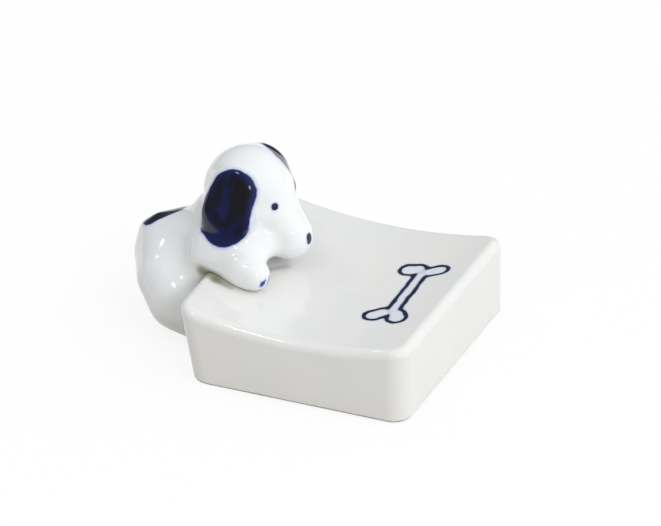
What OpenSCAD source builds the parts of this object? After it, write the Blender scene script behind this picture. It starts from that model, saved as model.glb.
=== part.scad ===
// Chopstick rest: a saddle-topped porcelain block with a puppy leaning over one end, paws on top.
// Every piece is formed on its own and luted to its neighbours on flat seats. Origin on the table
// at the middle of the whole footprint, +X from the puppy towards the free end, +Z up.

/* [Block] */
// Length of the block's foot, from the puppy's end to the free end
block_l = 39.5; // [34:0.5:46]
// Width of the block, along the chopsticks
block_w = 45.5; // [38:0.5:52]
// Height of the block at its two raised ends
block_h = 14.2; // [12:0.1:17]
// How far the top edge over the puppy leans out past the foot
lean = 2.8; // [0.5:0.1:4]
// Depth of the saddle below the raised ends
sag = 2.5; // [1:0.1:3.5]
// Radius of the block's upright corners
corner_r = 3.3; // [2.5:0.1:5]
// Rounding of the rim round the top
rim_r = 1.8; // [1:0.1:2.4]
// Rounding of the unglazed edge of the foot
foot_r = 0.7; // [0.3:0.1:1.2]
// Width of the foot ring left round the pressed hollow in the underside
ring_w = 5; // [4:0.1:7]
// Depth of the pressed hollow in the underside
hollow_h = 6.4; // [4:0.1:7]
// Inward slope of the hollow's sides, so that the block leaves its mould
draft = 1.2; // [0.6:0.1:2]

/* [Puppy] */
// Scale of the puppy: about the depth of its body
pup = 9.8; // [8:0.1:11.5]
// How far the puppy sits from the middle of the block's width
pup_y = 2.6; // [-4:0.1:4]

/* [Fineness] */
// Facets round the torso and the head
body_sides = 36; // [24:4:40]
// Facets round the legs, the ears and the tail
limb_sides = 24; // [16:4:28]
// Rings along the torso and the head
body_rings = 22; // [16:2:26]
// Rings along the legs, the ears and the tail
limb_rings = 16; // [12:2:20]
// Steps round each corner and over the rim of the block
turn_steps = 6; // [4:1:8]
// Steps along the block's saddle
saddle_steps = 14; // [8:2:18]

/* [Hidden] */

half_l = block_l / 2;
half_w = block_w / 2;
reach = block_l + block_w + pup;
luting_share = 0.01;
luting = rim_r * luting_share;
near_side = -1;
far_side = 1;

// How the block's rings are placed, as shares of the sizes they follow
side_steps = 4;
corner_least_share = 0.2;
ceiling_shares = [0.35, 0.7, 0.94];
hollow_bend_share = 0.8;
foot_bend_share = 0.3;
top_shares = [0.86, 0.7, 0.53, 0.36, 0.18];

// Shape of the smoothed clay: softness between rolls, and when a point counts as on the skin
blend_share = 0.07;
settled_share = 0.0002;
search_steps = 40;

// Where the puppy's forms are measured from: the block's leaning edge above, the table below it
ledge = [-half_l - lean, pup_y, block_h];
ground = [-half_l - lean, pup_y, 0];

// The torso: rump, chest and neck. Behind the block, heights are shares of the block's height
rump_share = [-1.03, 0, 0.656];
rump_r_share = 0.76;
chest_share = [-0.18, 0, 0.02];
chest_r_share = 0.65;
neck_share = [-0.22, 0, 0.48];
neck_r_share = 0.46;

// Where the block's middle stands, so that the whole footprint is centred on the origin
block_x = (block_l + lean - pup * (rump_share.x - rump_r_share)) / 2 - half_l;

// The head: skull and muzzle, the muzzle measured from the skull before the head is turned
skull_share = [0.325, 0, 1.06];
skull_r_share = 0.78;
muzzle_share = [0.8, 0, -0.71];
muzzle_r_share = 0.43;
cheek_share = 0.82;
head_turn = 7;

// A foreleg, from the shoulder over the block's rim to the paw
shoulder_share = [-0.13, -0.87, 0.05];
shoulder_r_share = 0.28;
wrist_share = [0.695, -1.14, 0.1];
wrist_r_share = 0.28;
paw_share = [0.925, -1.18, 0.075];
paw_r_share = 0.29;
tuck_share = [-0.2, 0.3, -0.05];

// A hind leg, from the hip round the folded knee to the paw against the block
hip_share = [-0.92, -0.73, 0.615];
hip_r_share = 0.53;
knee_share = [-0.55, -0.97, 0.428];
knee_r_share = 0.53;
hind_paw_share = [-0.19, -1.05, 0.41];
hind_paw_r_share = 0.42;

// An ear: its hinge on the crown, its lobe below, and how thin the flap is
ear_l_share = 0.43;
hinge_r_share = 0.46;
lobe_r_share = 0.54;
ear_thin_share = 0.34;
ear_tilt = 17;
ear_drop_share = 0.17;

// The tail, laid up against the rump
tail_rise = 46;
tail_l_share = 0.22;
tail_root_r_share = 0.2;
tail_tip_r_share = 0.17;
tail_thin_share = 0.42;

// Flat seats between the pieces
flank_seat_share = 0.58;
tail_seat_share = 0.94;
ear_seat_share = 0.83;
neck_seat_share = 0.49;
neck_tilt = 38;

function sided(v, side) = [v.x, -side * v.y, v.z];
function on_ground(v, side = near_side) = ground + pup * sided(v, side);
function behind_block(v, side = near_side) =
    on_ground([v.x, v.y, 0], side) + [0, 0, block_h * v.z];
function on_ledge(v, side = near_side) = ledge + pup * sided(v, side);
function roll(a, ra, b, rb) = [a, pup * ra, b, pup * rb];
// Turned with the head, towards the near side
function turned(v) =
    [v.x * cos(head_turn) + v.y * sin(head_turn), v.y * cos(head_turn) - v.x * sin(head_turn), v.z];

// Clay: rolls smoothed together, and the skin of a piece found from inside them
function unit(v) = v / norm(v);

// Distance from p to one tapered roll [start, radius, end, radius], less its radius
function off_roll(p, f) =
    let (along = f[2] - f[0],
         t = max(0, min(1, (p - f[0]) * along / (along * along))))
    norm(p - f[0] - t * along) - (f[1] + t * (f[3] - f[1]));

// The same to several rolls smoothed together
function off_clay(p, rolls) =
    let (soft = pup * blend_share,
         near = [for (f = rolls) exp(-off_roll(p, f) / soft)],
         sum = near * [for (f = rolls) 1])
    -soft * ln(sum);

function walk(p, d, rolls, n = search_steps) =
    let (depth = -off_clay(p, rolls))
    (n == 0 || depth < pup * settled_share) ? p : walk(p + d * depth, d, rolls, n - 1);

// Skin points from the inside line a-b outwards: half a dome at each end, a sleeve between
function skin_points(a, b, rolls, rings, sides) =
    let (ax = unit(b - a),
         u = unit(cross(ax, abs(ax.y) < abs(ax.z) ? [0, 1, 0] : [0, 0, 1])),
         v = cross(ax, u),
         dome = floor(rings / 3),
         sleeve = rings - 2 * dome,
         stations = [for (k = [1 : dome]) [a, -90 + 90 * k / dome],
                     for (k = [1 : sleeve]) [a + (b - a) * k / (sleeve + 1), 0],
                     for (k = [0 : dome - 1]) [b, 90 * k / dome]])
    [walk(a, -ax, rolls),
     for (s = stations) for (j = [0 : sides - 1])
        let (q = 360 * j / sides)
        walk(s[0], cos(s[1]) * (cos(q) * u + sin(q) * v) + sin(s[1]) * ax, rolls),
     walk(b, ax, rolls)];

// Faces of a closed stack of rings with a point at each end
function stack_faces(rings, sides) =
    let (last = rings * sides + 1)
    [for (j = [0 : sides - 1]) [0, 1 + j, 1 + (j + 1) % sides],
     for (k = [0 : rings - 2]) for (j = [0 : sides - 1])
        let (a = 1 + k * sides + j, b = 1 + k * sides + (j + 1) % sides)
        each [[a, a + sides, b], [b, a + sides, b + sides]],
     for (j = [0 : sides - 1]) [last, last - sides + (j + 1) % sides, last - sides + j]];

module skin(a, b, rolls, rings, sides, squash = [1, 1, 1])
    polyhedron([for (p = skin_points(a, b, rolls, rings, sides))
            [p.x * squash.x, p.y * squash.y, p.z * squash.z]],
        stack_faces(rings, sides));

// Everything on the far side of a flat seat through at, facing along facing
module beyond(at, facing)
    translate(at)
        rotate([0, acos(facing.z / norm(facing)), atan2(facing.y, facing.x)])
            translate([-reach / 2, -reach / 2, 0])
                cube(reach);

// A node's place on the table
module placed()
    translate([block_x, 0, 0])
        children();

// The block
top_mid = -lean / 2;
top_half = half_l + lean / 2;
function saddle(x) =
    let (t = (x - top_mid) / top_half)
    block_h - sag * (1 - t * t);
// The lean moves the puppy's end out and leaves the free end upright
function leaning(x, z) = x - lean * (z / block_h) * (half_l - x) / block_l;

// A rounded rectangle, set in from the block's outline by inset, with its long sides in steps
function outline(inset) =
    let (r = max(corner_r - inset, corner_r * corner_least_share),
         cx = half_l - inset - r,
         cy = half_w - inset - r)
    [for (q = [0 : 3])
        let (sx = (q == 0 || q == 3) ? 1 : -1,
             sy = q < 2 ? 1 : -1)
        each [
            for (k = [0 : turn_steps])
                let (w = 90 * (q + k / turn_steps))
                [sx * cx + r * cos(w), sy * cy + r * sin(w)],
            if (q == 0 || q == 2) for (k = [1 : saddle_steps - 1])
                [sx * cx * (1 - 2 * k / saddle_steps), sy * (cy + r)],
            if (q == 1 || q == 3) for (k = [1 : side_steps - 1])
                [sx * (cx + r), sy * cy * (1 - 2 * k / side_steps)]]];

function at_height(ring, z) = [for (p = ring) [leaning(p.x, z), p.y, z]];
// Rim rings: drop is how far below the saddle, so the rounding follows the curve of the top
function below_saddle(ring, drop) =
    [for (p = ring) let (x = leaning(p.x, block_h)) [x, p.y, saddle(x) - drop]];
function gathered(ring, s) = [for (p = ring) [p.x * s, p.y * s]];

block_rings = concat(
    [for (s = ceiling_shares) at_height(gathered(outline(ring_w + draft), s), hollow_h)],
    [at_height(outline(ring_w + draft / 2), hollow_h * hollow_bend_share)],
    [at_height(outline(ring_w), foot_r / 2)],
    [at_height(outline(ring_w - foot_r / 2), 0)],
    [at_height(outline(foot_r), 0)],
    [at_height(outline(foot_r * foot_bend_share), foot_r * foot_bend_share)],
    [at_height(outline(0), foot_r)],
    [for (k = [0 : turn_steps])
        let (w = 90 * k / turn_steps)
        below_saddle(outline(rim_r * (1 - cos(w))), rim_r * (1 - sin(w)))],
    [for (s = top_shares) below_saddle(gathered(outline(rim_r), s), 0)]);

module rest_block()
    color("white")
        placed()
            polyhedron(concat([[0, 0, hollow_h]], [for (r = block_rings) each r],
                    [[top_mid, 0, saddle(top_mid)]]),
                stack_faces(len(block_rings), len(block_rings[0])));

// The block's leaning end and saddle as one long bar, a slip's thickness proud: what is pressed
// on the block is cut to this
bar_profile = concat(
    [[half_l, -block_h]],
    [[half_l + luting, block_h]],
    [for (k = [saddle_steps : -1 : 1])
        let (x = top_mid + (top_half - rim_r) * (2 * k / saddle_steps - 1))
        [x, saddle(x) + luting]],
    [for (k = [0 : turn_steps])
        let (w = 90 * (1 - k / turn_steps),
             x = top_mid - top_half + rim_r * (1 - cos(w)))
        [x - luting, saddle(x) - rim_r * (1 - sin(w)) + luting]],
    [for (z = [foot_r, -block_h]) [leaning(-half_l, foot_r) - luting, z]]);
module block_bar()
    rotate([90, 0, 0])
        linear_extrude(height = reach, center = true)
            polygon(bar_profile);

// The puppy
skull = on_ledge(skull_share);
muzzle = skull + pup * turned(muzzle_share);
torso_rolls = [roll(behind_block(rump_share), rump_r_share, on_ledge(chest_share), chest_r_share),
    roll(on_ledge(chest_share), neck_r_share, on_ledge(neck_share), neck_r_share)];
head_rolls = [roll(skull, skull_r_share, skull - [0, 0, luting], skull_r_share),
    roll(skull, skull_r_share * cheek_share, muzzle, muzzle_r_share)];

neck_facing = [sin(neck_tilt), 0, cos(neck_tilt)];
neck_at = on_ledge(chest_share) + pup * neck_seat_share * neck_facing;
function flank_at(side) = [0, pup_y + side * pup * flank_seat_share, 0];
tail_facing = [-cos(tail_rise), 0, sin(tail_rise)];
tail_at = behind_block(rump_share) + pup * rump_r_share * tail_seat_share * tail_facing;
function ear_facing(side) = turned([0, side * cos(ear_tilt), sin(ear_tilt)]);
function ear_down(side) = turned([0, side * sin(ear_tilt), -cos(ear_tilt)]);
function ear_at(side) = skull + pup * skull_r_share * ear_seat_share * ear_facing(side);

module torso()
    color("white")
        placed()
            difference() {
                skin(behind_block(rump_share), on_ledge(chest_share), torso_rolls, body_rings, body_sides);
                block_bar();
                beyond(neck_at, neck_facing);
                beyond(tail_at, tail_facing);
                for (side = [near_side, far_side])
                    beyond(flank_at(side), [0, side, 0]);
            }

module head()
    color("white")
        placed()
            difference() {
                skin(skull, muzzle, head_rolls, body_rings, body_sides);
                block_bar();
                beyond(neck_at, -neck_facing);
                for (side = [near_side, far_side])
                    beyond(ear_at(side), ear_facing(side));
            }

module foreleg(side)
    let (tuck = side == far_side ? tuck_share : [0, 0, 0],
         shoulder = on_ledge(shoulder_share, side),
         wrist = on_ledge(wrist_share + tuck, side),
         paw = on_ledge(paw_share + tuck, side))
    difference() {
        skin(shoulder, paw,
            [roll(shoulder, shoulder_r_share, wrist, wrist_r_share),
                roll(wrist, wrist_r_share, paw, paw_r_share)],
            limb_rings, limb_sides);
        block_bar();
        beyond(flank_at(side), [0, -side, 0]);
    }

module hind_leg(side)
    let (hip = behind_block(hip_share, side),
         knee = behind_block(knee_share, side),
         paw = on_ground(hind_paw_share, side))
    difference() {
        skin(hip, paw,
            [roll(hip, hip_r_share, knee, knee_r_share),
                roll(knee, knee_r_share, paw, hind_paw_r_share)],
            limb_rings, limb_sides);
        block_bar();
        beyond(flank_at(side), [0, -side, 0]);
        beyond([0, 0, 0], [0, 0, -1]);
    }

// A flat lobe lying on the plane through its middle, its round side up: an ear or the tail
module lobe(start, start_r_share, end, end_r_share, thin_share)
    difference() {
        skin(start, end, [roll(start, start_r_share, end, end_r_share)],
            limb_rings, limb_sides, [1, 1, thin_share]);
        beyond([0, 0, 0], [0, 0, -1]);
    }

module ear(side)
    let (half = side * pup * ear_l_share / 2)
    translate(ear_at(side) + pup * ear_drop_share * ear_down(side))
        rotate([0, 0, -head_turn])
            rotate([-side * (90 - ear_tilt), 0, 0])
                lobe([0, -half, 0], hinge_r_share, [0, half, 0], lobe_r_share, ear_thin_share);

module right_foreleg()
    color("white")
        placed()
            foreleg(near_side);

module left_foreleg()
    color("white")
        placed()
            foreleg(far_side);

module right_hind_leg()
    color("white")
        placed()
            hind_leg(near_side);

module left_hind_leg()
    color("white")
        placed()
            hind_leg(far_side);

module right_ear()
    color("midnightblue")
        placed()
            ear(near_side);

module left_ear()
    color("midnightblue")
        placed()
            ear(far_side);

module tail()
    color("midnightblue")
        placed()
            translate(tail_at)
                rotate([0, tail_rise - 90, 0])
                    lobe([-pup * tail_l_share / 2, 0, 0], tail_root_r_share,
                        [pup * tail_l_share / 2, 0, 0], tail_tip_r_share, tail_thin_share);

rest_block();
torso();
head();
right_ear();
left_ear();
right_foreleg();
left_foreleg();
right_hind_leg();
left_hind_leg();
tail();
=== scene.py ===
"""A chopstick rest of glazed porcelain: a low block with a saddle top and a puppy that leans on its edge.

The puppy's rolls are joined under one skin of glaze, and then parted again at the seats where
a potter would lute them, so that each piece stays its own. The cobalt marks are brushed on in
the rest's own coordinates.
"""

import logging
import math
from contextlib import contextmanager
from dataclasses import dataclass, field, replace
from enum import Enum
from typing import Iterable, Iterator, Optional, Union

import bpy
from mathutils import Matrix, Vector

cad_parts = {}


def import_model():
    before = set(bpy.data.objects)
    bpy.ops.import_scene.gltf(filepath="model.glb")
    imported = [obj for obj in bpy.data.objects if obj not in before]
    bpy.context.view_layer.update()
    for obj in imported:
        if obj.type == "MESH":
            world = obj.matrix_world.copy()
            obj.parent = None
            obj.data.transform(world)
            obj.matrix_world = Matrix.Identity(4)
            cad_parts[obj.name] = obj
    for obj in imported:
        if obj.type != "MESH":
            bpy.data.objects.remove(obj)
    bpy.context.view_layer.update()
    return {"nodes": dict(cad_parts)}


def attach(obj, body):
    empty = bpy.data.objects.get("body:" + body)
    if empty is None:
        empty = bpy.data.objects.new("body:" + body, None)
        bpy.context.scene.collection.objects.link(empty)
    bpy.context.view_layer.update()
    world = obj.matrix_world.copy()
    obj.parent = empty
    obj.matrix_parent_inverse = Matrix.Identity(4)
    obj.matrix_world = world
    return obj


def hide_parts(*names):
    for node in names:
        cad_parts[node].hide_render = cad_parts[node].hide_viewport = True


MM = 0.001
# How near vertices are merged and how near a cut they count as on it, in millimetres
WELD = 0.002
CUT_TOLERANCE = 0.0005
# The angle in degrees past which an edge shows sharp
SHARP_ANGLE = 22.0
log = logging.getLogger("chopstick_rest")

Piece = bpy.types.Object
Triple = tuple[float, float, float]
Socket = bpy.types.NodeSocket
Feed = Union[Socket, float, Vector, Triple, tuple[float, float, float, float]]
Feeds = Union[dict[str, Feed], tuple[Feed, ...]]


class Side(Enum):
    """The puppy's two sides, seen from behind it."""

    RIGHT = -1
    LEFT = 1


class Keep(Enum):
    """Which side of a cut stays: the one its facing points to, or the other."""

    AHEAD = 1
    BEHIND = -1


def metres(point: Triple) -> Vector:
    """Turns a point given in millimetres into metres."""
    return Vector(point) * MM


@dataclass(frozen=True)
class Mirror:
    """An upright plane that one half of the puppy, or of its head, mirrors the other in.

    Attributes:
        centre: A point on the plane, in millimetres.
        turn: How far it is turned from the x direction towards the near side, in degrees.
    """

    centre: Triple
    turn: float = 0.0

    def turned(self, vector: Triple) -> Triple:
        """Turns a direction from the rest's axes to this plane's."""
        c, s = math.cos(math.radians(self.turn)), math.sin(math.radians(self.turn))
        return (vector[0] * c + vector[1] * s, vector[1] * c - vector[0] * s, vector[2])

    def place(self, ahead: float, aside: float, up: float) -> Triple:
        """Gives a point from its distances ahead, to the left of and above the centre."""
        return tuple(Vector(self.centre) + Vector(self.turned((ahead, aside, up))))

    def direction(self, vector: Triple) -> Triple:
        """Gives a direction's mirror image."""
        across = Vector(self.turned((0.0, 1.0, 0.0)))
        return tuple(Vector(vector) - 2 * Vector(vector).dot(across) * across)

    def point(self, point: Triple) -> Triple:
        """Gives a point's mirror image."""
        return tuple(Vector(self.centre) + Vector(self.direction(tuple(Vector(point) - Vector(self.centre)))))


# Handling pieces on the bench


def pick(*pieces: Piece) -> Piece:
    """Selects some pieces and nothing else.

    Args:
        pieces: The pieces, the first of which becomes the active one.

    Returns:
        The active piece.
    """
    bpy.ops.object.select_all(action="DESELECT")
    for piece in pieces:
        piece.select_set(True)
    bpy.context.view_layer.objects.active = pieces[0]
    return pieces[0]


@contextmanager
def editing(piece: Piece) -> Iterator[None]:
    """Holds a piece in edit mode with all of it selected.

    Args:
        piece: The piece.

    Yields:
        Nothing, while the piece is held.
    """
    pick(piece)
    bpy.ops.object.mode_set(mode="EDIT")
    bpy.ops.mesh.select_all(action="SELECT")
    yield
    bpy.ops.object.mode_set(mode="OBJECT")


@contextmanager
def chosen(piece: Piece, wanted: Iterable[int], kind: str) -> Iterator[None]:
    """Holds a piece in edit mode with some of its vertices, edges or faces selected.

    Args:
        piece: The piece.
        wanted: The indices to select.
        kind: "VERT", "EDGE" or "FACE".

    Yields:
        Nothing, while the piece is held.
    """
    with editing(piece):
        bpy.ops.mesh.select_mode(type=kind)
        bpy.ops.mesh.select_all(action="DESELECT")
    parts = {"VERT": piece.data.vertices, "EDGE": piece.data.edges, "FACE": piece.data.polygons}[kind]
    for index in wanted:
        parts[index].select = True
    bpy.ops.object.mode_set(mode="EDIT")
    yield
    bpy.ops.object.mode_set(mode="OBJECT")


def settle(piece: Piece, name: str) -> Piece:
    """Names a piece and lays its place into its mesh, so that its object is at the origin.

    Args:
        piece: The piece.
        name: Its name.

    Returns:
        The same piece.
    """
    pick(piece)
    bpy.ops.object.transform_apply(location=True, rotation=True, scale=True)
    piece.name = piece.data.name = name
    return piece


def cuboid(name: str, middle: Triple, sizes: Triple) -> Piece:
    """Makes a cuboid of clay.

    Args:
        name: Its name.
        middle: Its middle, in millimetres.
        sizes: Its sizes along x, y and z.

    Returns:
        The cuboid.
    """
    bpy.ops.object.select_all(action="DESELECT")
    bpy.ops.mesh.primitive_cube_add(size=1.0, location=metres(middle))
    bpy.context.active_object.scale = metres(sizes)
    return settle(bpy.context.active_object, name)


def joined(pieces: list[Piece], name: str) -> Piece:
    """Joins several pieces into one object.

    Args:
        pieces: What is joined, two at least.
        name: The name of the result.

    Returns:
        The joined object.
    """
    whole = pick(*pieces)
    bpy.ops.object.join()
    return settle(whole, name)


def finished_with(piece: Piece, kind: str, **settings: object) -> None:
    """Adds a modifier to a piece and applies it.

    Args:
        piece: The piece that is changed.
        kind: The modifier's type.
        settings: Its settings by name.
    """
    pick(piece)
    bpy.ops.object.modifier_add(type=kind)
    modifier = piece.modifiers[-1]
    for label, value in settings.items():
        setattr(modifier, label, value)
    bpy.ops.object.modifier_apply(modifier=modifier.name)


def combined(piece: Piece, operation: str, other: Piece) -> None:
    """Cuts a piece by another, keeps what they share, or adds the other to it."""
    finished_with(piece, "BOOLEAN", operation=operation, object=other, solver="MANIFOLD")


def shade(piece: Piece) -> None:
    """Shades a piece smooth, apart from its sharp edges."""
    pick(piece)
    bpy.ops.object.shade_smooth_by_angle(angle=math.radians(SHARP_ANGLE))


def copy_of(piece: Piece, name: str) -> Piece:
    """Copies a piece with a mesh of its own.

    Args:
        piece: What is copied.
        name: The copy's name.

    Returns:
        The copy, with no parent and no material.
    """
    copy = bpy.data.objects.new(name, piece.data.copy())
    copy.data.name = name
    copy.data.materials.clear()
    bpy.context.scene.collection.objects.link(copy)
    return copy


def merged_copy_of(piece: Piece, name: str) -> Piece:
    """Copies a CAD node, which stays as it is, and merges the copy's loose triangles.

    Args:
        piece: The node's object.
        name: The copy's name.

    Returns:
        The copy.
    """
    copy = copy_of(piece, name)
    with editing(copy):
        bpy.ops.mesh.remove_doubles(threshold=WELD * MM)
    return copy


def discard(piece: Piece) -> None:
    """Takes a helper piece off the bench."""
    bpy.data.objects.remove(piece, do_unlink=True)


@dataclass(frozen=True)
class Seat:
    """A flat cut where two rolls of clay are luted together.

    Attributes:
        point: A point on the cut, in millimetres.
        facing: The direction that it faces.
    """

    point: Triple
    facing: Triple

    def cut(self, piece: Piece, keep: Keep) -> None:
        """Cuts a piece here and closes it with a flat face.

        Args:
            piece: The piece that is cut.
            keep: Which side stays.
        """
        with editing(piece):
            bpy.ops.mesh.bisect(
                plane_co=metres(self.point),
                plane_no=Vector(self.facing).normalized(),
                use_fill=True,
                clear_inner=keep is Keep.AHEAD,
                clear_outer=keep is Keep.BEHIND,
                threshold=CUT_TOLERANCE * MM,
            )


def cutter(name: str, seats: list[tuple[Seat, Keep]], middle: Triple, span: float) -> Piece:
    """Makes a block whose flat sides lie on some seats, to part the clay with.

    Args:
        name: The block's name.
        seats: The seats that bound it, and the side of each that it is on.
        middle: Its middle before it is cut, in millimetres.
        span: Its size before it is cut.

    Returns:
        The cutting block.
    """
    bpy.ops.object.select_all(action="DESELECT")
    bpy.ops.mesh.primitive_cube_add(size=span * MM, location=metres(middle))
    block = settle(bpy.context.active_object, name)
    for seat, keep in seats:
        seat.cut(block, keep)
    return block


# Mixing glazes with shader nodes


class Palette:
    """Adds and joins the nodes of one shader tree.

    Attributes:
        tree: The node tree that is filled.
    """

    def __init__(self, tree: bpy.types.NodeTree) -> None:
        """Starts on a tree."""
        self.tree = tree

    def feed(self, socket: Socket, what: Feed) -> None:
        """Sets a socket to a value, or joins another node's socket to it.

        Args:
            socket: The input.
            what: The value, or the other node's output.
        """
        if isinstance(what, bpy.types.NodeSocket):
            self.tree.links.new(what, socket)
        else:
            socket.default_value = what

    def add(self, kind: str, feeds: Feeds = (), **settings: object) -> bpy.types.Node:
        """Adds a node.

        Args:
            kind: The node's type, without the leading ShaderNode.
            feeds: Its inputs in order, or by name or identifier.
            settings: Its settings by name.

        Returns:
            The node.
        """
        node = self.tree.nodes.new(f"ShaderNode{kind}")
        for label, value in settings.items():
            setattr(node, label, value)
        if isinstance(feeds, dict):
            for label, what in feeds.items():
                self.feed(next(s for s in node.inputs if label in (s.identifier, s.name)), what)
        else:
            for socket, what in zip(node.inputs, feeds):
                self.feed(socket, what)
        return node

    def sum(self, operation: str, *terms: Feed, clamp: bool = False) -> Socket:
        """Gives a Math node's result, kept from 0 to 1 if that is asked for."""
        return self.add("Math", terms, operation=operation, use_clamp=clamp).outputs[0]

    def vector(self, operation: str, *terms: Feed) -> Socket:
        """Gives a Vector Math node's vector, or the number of a dot product or a length."""
        node = self.add("VectorMath", terms, operation=operation)
        return node.outputs["Value" if operation in ("DOT_PRODUCT", "LENGTH") else "Vector"]

    def scaled(self, vector: Socket, factor: Feed) -> Socket:
        """Scales a vector by a number."""
        feeds = {"Vector": vector, "Scale": factor}
        return self.add("VectorMath", feeds, operation="SCALE").outputs["Vector"]

    def ramp(self, value: Feed, low: Feed, high: Feed, start: float = 0.0, end: float = 1.0) -> Socket:
        """Turns a value into a soft step: start where the value is low, and end where it is high."""
        feeds = {"Value": value, "From Min": low, "From Max": high, "To Min": start, "To Max": end}
        return self.add("MapRange", feeds, interpolation_type="SMOOTHSTEP").outputs["Result"]

    def noise(self, place: Socket, size: Feed, detail: float = 2.0, rough: float = 0.5) -> bpy.types.Node:
        """Adds soft noise, whose blots are about a size across.

        Args:
            place: Where it is read, in metres.
            size: The size, in metres.
            detail: How many finer layers it has.
            rough: How strong these are.

        Returns:
            The noise's node, with Fac from 0 to 1 and a Color.
        """
        scale = self.sum("DIVIDE", 1.0, size) if isinstance(size, bpy.types.NodeSocket) else 1.0 / size
        feeds = {"Vector": place, "Scale": scale, "Detail": detail, "Roughness": rough}
        return self.add("TexNoise", feeds, noise_dimensions="3D")

    def cloud(self, place: Socket, size: Feed, detail: float = 2.0, rough: float = 0.5) -> Socket:
        """Gives noise from 0 to 1, as the method noise makes it."""
        return self.noise(place, size, detail, rough).outputs["Fac"]

    def mixed(self, kind: str, factor: Feed, under: Feed, over: Feed) -> Socket:
        """Lays one number or colour over another.

        Args:
            kind: "Float" or "Color".
            factor: How much of it lies over, from 0 to 1.
            under: What is below.
            over: What is on top.

        Returns:
            The mix.
        """
        feeds = {"Factor_Float": factor, f"A_{kind}": under, f"B_{kind}": over}
        node = self.add("Mix", feeds, data_type="RGBA" if kind == "Color" else "FLOAT")
        return next(s for s in node.outputs if s.identifier == f"Result_{kind}")

    def tint(self, factor: Feed, under: Feed, over: Feed) -> Socket:
        """Lays one colour over another, by a factor from 0 to 1."""
        return self.mixed("Color", factor, under, over)

    def place(self) -> Socket:
        """Gives the rest's own coordinates, in metres."""
        return self.add("TexCoord").outputs["Object"]


def opaque(colour: Triple) -> tuple[float, float, float, float]:
    """Gives a colour with its alpha."""
    return (*colour, 1.0)


Group = tuple[Palette, dict[str, Socket], dict[str, Socket]]


def new_group(name: str, takes: dict[str, str], gives: tuple[str, ...]) -> Group:
    """Starts a node group.

    Args:
        name: Its name.
        takes: Its inputs: name to kind, such as Float or Vector.
        gives: The names of its outputs, each of them a number.

    Returns:
        A palette on it, its inputs' sockets by name and its outputs'.
    """
    tree = bpy.data.node_groups.new(name, "ShaderNodeTree")
    for label, kind in takes.items():
        tree.interface.new_socket(name=label, in_out="INPUT", socket_type=f"NodeSocket{kind}")
    for label in gives:
        tree.interface.new_socket(name=label, in_out="OUTPUT", socket_type="NodeSocketFloat")
    start, end = tree.nodes.new("NodeGroupInput"), tree.nodes.new("NodeGroupOutput")
    return Palette(tree), dict(start.outputs.items()), dict(end.inputs.items())


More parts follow.
